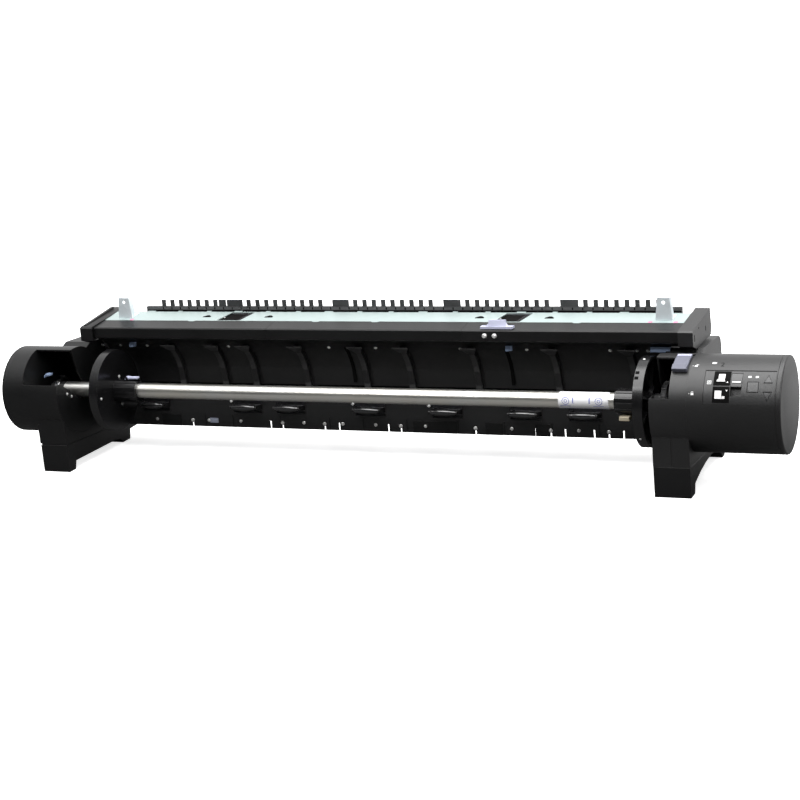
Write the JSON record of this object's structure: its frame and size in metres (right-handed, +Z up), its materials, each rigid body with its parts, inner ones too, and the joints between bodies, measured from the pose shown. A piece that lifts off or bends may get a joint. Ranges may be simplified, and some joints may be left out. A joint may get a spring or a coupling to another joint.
{
  "type": "roll feed unit",
  "caption": "Floor-standing roll feed unit for a wide format printer: a spool with two flanges between drum housings, curved paper guide, plated top and finger comb.",
  "frame": {"origin": "on the floor, at the middle of the outline in X and Y", "axes": "+X along the roll from the plain drum to the drum with the control panel, +Y to the back, +Z up"},
  "size_m": [1.6138, 0.2956, 0.332],
  "materials": {
    "black_moulding": "fine moulded texture, black",
    "drum_moulding": "fine moulded texture, charcoal, soft sheen",
    "gloss_black": "glossy black",
    "plated_steel": "zinc plated sheet, pale bluish",
    "frame_steel": "dark plated steel",
    "aluminium": "satin drawn tube",
    "bright_steel": "ground steel",
    "rubber": "matt rubber",
    "lilac": "pale lilac-grey plastic",
    "gear_white": "natural acetal",
    "board_green": "coated circuit board",
    "panel_black": "fine texture",
    "button_black": "fine texture",
    "sensor_black": "glossy black window"
  },
  "bodies": {
    "frame": {"left_drum_cover": "black_moulding", "left_end_cap": "black_moulding", "left_leg_cover": "black_moulding", "left_foot": "black_moulding", "left_cradle": "black_moulding", "right_column_cover": "drum_moulding", "right_drum_cover": "drum_moulding", "right_end_cap": "drum_moulding", "right_leg_cover": "drum_moulding", "right_foot": "black_moulding", "right_cradle": "black_moulding", "left_side_plate": "frame_steel", "right_side_plate": "frame_steel", "lower_stay": "frame_steel", "rear_cover": "black_moulding", "beam_cover_left": "drum_moulding", "beam_cover_middle": "drum_moulding", "beam_cover_right": "drum_moulding", "left_top_cover": "drum_moulding", "right_top_cover": "drum_moulding", "top_plate": "plated_steel", "media_sensors": "sensor_black", "comb_guide": "drum_moulding", "left_hanger": "plated_steel", "right_hanger": "plated_steel", "curved_guide": "black_moulding", "lower_guide": "black_moulding", "gear_bracket": "frame_steel", "drive_motor": "frame_steel", "circuit_board": "board_green", "control_panel": "panel_black", "pinch_bearings": "gear_white", "feed_motor": "frame_steel", "fasteners": "bright_steel"},
    "spool_seat": {"shaft_bearings": "bright_steel"},
    "spool": {"spool_shaft": "aluminium", "right_flange": "gloss_black", "spool_gear": "gear_white"},
    "left_flange": {"left_flange": "gloss_black"},
    "flange_lever": {"flange_lever": "lilac"},
    "lock_ring": {"lock_ring": "drum_moulding", "lock_grip": "lilac"},
    "idler_gear": {"idler_gear": "gear_white"},
    "drive_pinion": {"drive_pinion": "bright_steel"},
    "start_button": {"start_button": "button_black"},
    "feed_up_button": {"feed_up_button": "button_black"},
    "feed_down_button": {"feed_down_button": "button_black"},
    "direction_switch": {"direction_switch": "button_black"},
    "feed_roller": {"feed_roller": "rubber"},
    "pinch_rollers": {"pinch_rollers": "rubber"},
    "feed_pinion": {"feed_pinion": "bright_steel"},
    "clip_lever": {"clip_lever": "lilac"},
    "roller_arms": {"roller_arms": "black_moulding"},
    "guide_roller_1": {"guide_roller_1": "gloss_black"},
    "guide_roller_2": {"guide_roller_2": "gloss_black"},
    "guide_roller_3": {"guide_roller_3": "gloss_black"},
    "guide_roller_4": {"guide_roller_4": "gloss_black"},
    "guide_roller_5": {"guide_roller_5": "gloss_black"},
    "guide_roller_6": {"guide_roller_6": "gloss_black"},
    "guide_roller_7": {"guide_roller_7": "gloss_black"}
  },
  "joints": [
    {"name": "spool_lift", "type": "slide", "parent": "frame", "child": "spool_seat", "axis": [0, -0.6521, 0.7581], "range_m": [0, 0.13]},
    {"name": "spool_spin", "type": "hinge", "parent": "spool_seat", "child": "spool", "pos_m": [0, -0.05825, 0.158], "axis": [1, 0, 0], "continuous": true},
    {"name": "flange_slide", "type": "slide", "parent": "spool", "child": "left_flange", "axis": [1, 0, 0], "range_m": [0, 0.866]},
    {"name": "flange_lever_turn", "type": "hinge", "parent": "left_flange", "child": "flange_lever", "pos_m": [-0.55545, -0.05825, 0.1837], "axis": [0, -1, 0], "range_deg": [0, 75]},
    {"name": "lock_ring_turn", "type": "hinge", "parent": "frame", "child": "lock_ring", "pos_m": [0.62305, -0.05825, 0.158], "axis": [1, 0, 0], "range_deg": [0, 33]},
    {"name": "idler_spin", "type": "hinge", "parent": "frame", "child": "idler_gear", "pos_m": [0.61955, -0.02402, 0.1182], "axis": [1, 0, 0], "continuous": true},
    {"name": "pinion_spin", "type": "hinge", "parent": "frame", "child": "drive_pinion", "pos_m": [0.65455, -0.05402, 0.1182], "axis": [1, 0, 0], "continuous": true},
    {"name": "start_button_press", "type": "slide", "parent": "frame", "child": "start_button", "axis": [0, 0.8151, -0.5793], "range_m": [0, 0.0012], "stiffness_N_per_m": 500, "springref_m": -0.0008},
    {"name": "feed_up_button_press", "type": "slide", "parent": "frame", "child": "feed_up_button", "axis": [0, 0.6984, -0.7157], "range_m": [0, 0.0012], "stiffness_N_per_m": 500, "springref_m": -0.0008},
    {"name": "feed_down_button_press", "type": "slide", "parent": "frame", "child": "feed_down_button", "axis": [0, 0.91, -0.4147], "range_m": [0, 0.0012], "stiffness_N_per_m": 500, "springref_m": -0.0008},
    {"name": "direction_switch_slide", "type": "slide", "parent": "frame", "child": "direction_switch", "axis": [0, -0.6252, -0.7804], "range_m": [0, 0.016]},
    {"name": "feed_roller_spin", "type": "hinge", "parent": "frame", "child": "feed_roller", "pos_m": [0, 0.09175, 0.266], "axis": [1, 0, 0], "continuous": true},
    {"name": "pinch_roller_spin", "type": "hinge", "parent": "frame", "child": "pinch_rollers", "pos_m": [0, 0.0726, 0.266], "axis": [1, 0, 0], "continuous": true},
    {"name": "feed_pinion_spin", "type": "hinge", "parent": "frame", "child": "feed_pinion", "pos_m": [-0.63245, 0.0655, 0.266], "axis": [1, 0, 0], "continuous": true},
    {"name": "clip_lever_tilt", "type": "hinge", "parent": "frame", "child": "clip_lever", "pos_m": [0.24805, -0.01125, 0.2864], "axis": [-1, 0, 0], "range_deg": [0, 60]},
    {"name": "roller_arms_rock", "type": "hinge", "parent": "frame", "child": "roller_arms", "pos_m": [0, 0.05075, 0.098], "axis": [-1, 0, 0], "range_deg": [0, 25]},
    {"name": "guide_roller_1_spin", "type": "hinge", "parent": "roller_arms", "child": "guide_roller_1", "pos_m": [-0.55445, 0.02175, 0.103], "axis": [1, 0, 0], "continuous": true},
    {"name": "guide_roller_2_spin", "type": "hinge", "parent": "roller_arms", "child": "guide_roller_2", "pos_m": [-0.33645, 0.02175, 0.103], "axis": [1, 0, 0], "continuous": true},
    {"name": "guide_roller_3_spin", "type": "hinge", "parent": "roller_arms", "child": "guide_roller_3", "pos_m": [-0.23745, 0.02175, 0.103], "axis": [1, 0, 0], "continuous": true},
    {"name": "guide_roller_4_spin", "type": "hinge", "parent": "roller_arms", "child": "guide_roller_4", "pos_m": [-0.05845, 0.02175, 0.103], "axis": [1, 0, 0], "continuous": true},
    {"name": "guide_roller_5_spin", "type": "hinge", "parent": "roller_arms", "child": "guide_roller_5", "pos_m": [0.10755, 0.02175, 0.103], "axis": [1, 0, 0], "continuous": true},
    {"name": "guide_roller_6_spin", "type": "hinge", "parent": "roller_arms", "child": "guide_roller_6", "pos_m": [0.27255, 0.02175, 0.103], "axis": [1, 0, 0], "continuous": true},
    {"name": "guide_roller_7_spin", "type": "hinge", "parent": "roller_arms", "child": "guide_roller_7", "pos_m": [0.39355, 0.02175, 0.103], "axis": [1, 0, 0], "continuous": true}
  ],
  "couplings": [
    {"joint": "idler_spin", "follows": "spool_spin", "ratio": -2.5},
    {"joint": "pinion_spin", "follows": "spool_spin", "ratio": 10},
    {"joint": "pinch_roller_spin", "follows": "feed_roller_spin", "ratio": -1.4013},
    {"joint": "feed_pinion_spin", "follows": "feed_roller_spin", "ratio": -3.2}
  ]
}
